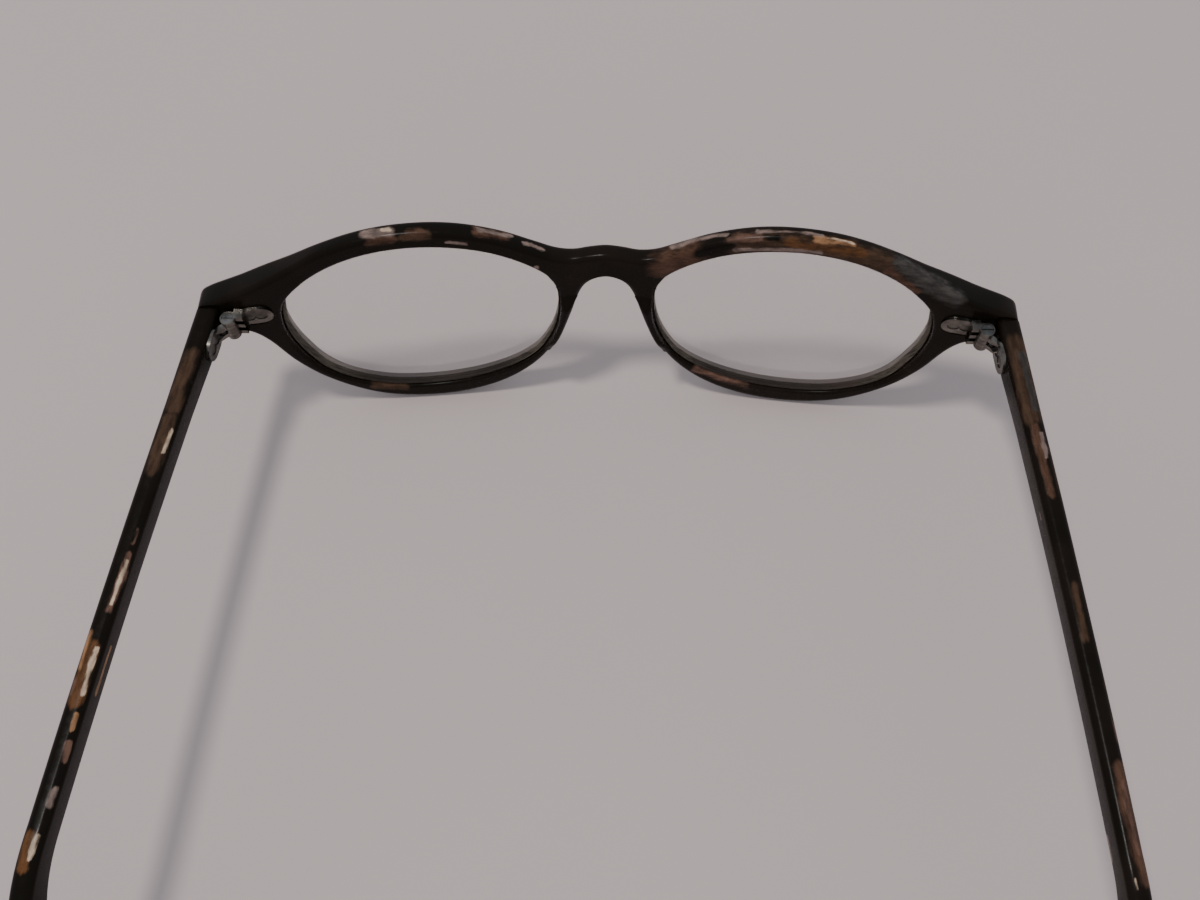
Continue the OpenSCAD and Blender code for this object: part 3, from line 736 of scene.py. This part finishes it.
def edge_material(side):
    """Ground edge, painted dark for the shade in its groove, with a paler painted sheen, a reflection
    of the light, at the nasal and temporal sides.
    """
    g = Nodes("lens_ground_edge_" + ("right" if side > 0 else "left"))
    mm = g.object_mm()
    grit = g.noise(mm, 6.0, 3.0, 0.7).outputs[0]
    bump = g.add("ShaderNodeBump", Height=grit, Strength=0.4, Distance=0.00004)
    tone = g.ramp(g.noise(mm, 0.12, 3.0, 0.6).outputs[0], 0.45, 0.70)
    x = g.t.nodes.new("ShaderNodeSeparateXYZ")
    g.put(x, "i0", mm)
    away = g.math("ABSOLUTE", g.math("SUBTRACT", x.outputs[0], STAND_X + side * EYE_C[0]))
    lines = g.noise(g.vec("MULTIPLY", mm, (0.6, 6.0, 0.15)), 1.0, 3.0, 0.6).outputs[0]
    # painted sheen: paler streaks of reflected light, strongest away from the middle of the lens
    painted_sheen = g.math("MULTIPLY", g.ramp(away, 11.0, 20.0), g.ramp(lines, 0.36, 0.56))
    # painted shade: the frosted edge is coloured near black for the shade of the groove around it
    dark = g.mix(grit, (0.014, 0.010, 0.007), (0.030, 0.022, 0.016))
    body = g.mix(tone, dark, (0.040, 0.027, 0.020))
    sh = g.add("ShaderNodeBsdfPrincipled", Base_Color=g.mix(painted_sheen, body, (0.095, 0.078, 0.058)),
               Roughness=0.45, IOR=1.5, Normal=bump.outputs[0])
    sh.inputs["Specular IOR Level"].default_value = 0.15
    return g.finish(sh)


def metal(name, dark, light, rough):
    """Nickel silver or steel with tumbling marks and a little tarnish."""
    g = Nodes(name)
    mm = g.object_mm()
    cloud = g.noise(mm, 0.5, 3.0, 0.5).outputs[0]
    fine = g.noise(g.vec("MULTIPLY", mm, (1.0, 1.0, 7.0)), 5.0, 3.0, 0.6).outputs[0]
    bump = g.add("ShaderNodeBump", Height=fine, Strength=0.12, Distance=0.00002)
    sh = g.add("ShaderNodeBsdfPrincipled", Base_Color=g.mix(g.ramp(cloud, 0.35, 0.7), dark, light),
               Metallic=1.0, Roughness=g.ramp(g.math("ADD", cloud, g.math("MULTIPLY", fine, 0.3)),
                                              0.4, 1.0, rough, rough + 0.12),
               Normal=bump.outputs[0])
    return g.finish(sh)


def floor_material():
    g = Nodes("pale_floor")
    co = g.add("ShaderNodeTexCoord").outputs["Object"]
    cloud = g.noise(co, 9.0, 3.0, 0.6).outputs[0]
    sh = g.add("ShaderNodeBsdfPrincipled", Roughness=0.85, IOR=1.3,
               Base_Color=g.mix(cloud, (0.512, 0.426, 0.410), (0.547, 0.458, 0.437)))
    return g.finish(sh)


# ---------------------------------------------------------------- build
def dress(ob, body, slot, nodes, *mats):
    for m in mats:
        ob.data.materials.append(m)
    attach(ob, body)
    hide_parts(*nodes)


nickel = metal("nickel_silver", (0.085, 0.076, 0.066), (0.19, 0.175, 0.155), 0.20)
rivet = metal("rivet_heads", (0.06, 0.053, 0.046), (0.15, 0.14, 0.12), 0.30)
steel = metal("screw_steel", (0.08, 0.077, 0.073), (0.17, 0.165, 0.16), 0.24)
lens_clear = lens_material()
front_mat = acetate("tortoiseshell_front", on_front(), 1, [rim_run(*r) for r in FRONT_RUNS], 1,
                    (0.35, 1.0, 1.0), ((0, 1, 0), 2.3, 3.0))

dress(build_front(), "front", "acetate", ["front"], front_mat)
for s, word, runs, seed in ((1, "right", RIGHT_RUNS, 2), (-1, "left", LEFT_RUNS, 3)):
    dress(build_pad(s), "front", "acetate", ["nose_pad_" + word], front_mat)
    dress(build_lens(s), "front", "lens", ["lens_" + word], lens_clear, edge_material(s))
    dress(build_temple(s), "temple_" + word, "acetate", ["temple_" + word],
          acetate("tortoiseshell_temple_" + word, temple_frame(s), s,
                  [temple_run(s, *r) for r in runs], seed, (1.0, 0.25, 1.0), ((s, 0, 0), 4.9, 5.4)))

METAL = {"front_hinge": nickel, "front_rivets": rivet, "temple_hinge": nickel,
         "temple_rivets": rivet, "core_wire": nickel, "hinge_screw": steel}
for stem, mat in METAL.items():
    for word in ("left", "right"):
        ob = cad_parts[stem + "_" + word]
        ob.data.materials.clear()
        ob.data.materials.append(mat)
        if stem != "core_wire":
            bev = ob.modifiers.new("soft_edges", "BEVEL")
            bev.width, bev.segments, bev.limit_method = 0.00009, 2, "ANGLE"
            bev.angle_limit = rad(40)
            bev.harden_normals = False

# ---------------------------------------------------------------- floor, lights, camera
fl = bpy.data.meshes.new("pale_floor")
fl.from_pydata([(-3, -3, 0), (3, -3, 0), (3, 3, 0), (-3, 3, 0)], [], [(0, 1, 2, 3)])
floor = bpy.data.objects.new("pale_floor", fl)
bpy.context.scene.collection.objects.link(floor)
fl.materials.append(floor_material())


def area_light(name, where, aim, size, power, colour):
    data = bpy.data.lights.new(name, "AREA")
    data.shape, data.size, data.energy, data.color = "DISK", size, power, colour
    ob = bpy.data.objects.new(name, data)
    bpy.context.scene.collection.objects.link(ob)
    ob.location = where
    ob.rotation_euler = (Vector(aim) - Vector(where)).to_track_quat("-Z", "Y").to_euler()


area_light("key", (-0.31, 0.085, 1.20), (0, 0, 0), 0.15, 7.3, (1.0, 0.965, 0.92))

world = bpy.data.worlds.new("soft_room")
bpy.context.scene.world = world
world.use_nodes = True
sky = world.node_tree.nodes["Background"]
sky.inputs["Color"].default_value = (0.84, 0.90, 0.99, 1)
sky.inputs["Strength"].default_value = 0.70

CAM_YAW, CAM_PITCH, CAM_ROLL = 4.17, 70.47, -2.95
CAM_PLACE = (5.1 + STAND_X, -35.6, 240.2)
FOCAL = 42.0
cy, sy = math.cos(rad(CAM_YAW)), math.sin(rad(CAM_YAW))
cp, sp = math.cos(rad(CAM_PITCH)), math.sin(rad(CAM_PITCH))
fwd = Vector((-sy * cp, cy * cp, -sp))
right = Vector((cy, sy, 0))
up = right.cross(fwd)
cr, sr = math.cos(rad(CAM_ROLL)), math.sin(rad(CAM_ROLL))
r2 = cr * right + sr * up
u2 = -sr * right + cr * up
cam_data = bpy.data.cameras.new("camera")
cam_data.sensor_width, cam_data.lens, cam_data.clip_start = 36.0, FOCAL, 0.01
cam = bpy.data.objects.new("camera", cam_data)
bpy.context.scene.collection.objects.link(cam)
rot = Matrix((r2, u2, -fwd)).transposed().to_4x4()
cam.matrix_world = Matrix.Translation(Vector(CAM_PLACE) * MM) @ rot
bpy.context.scene.camera = cam
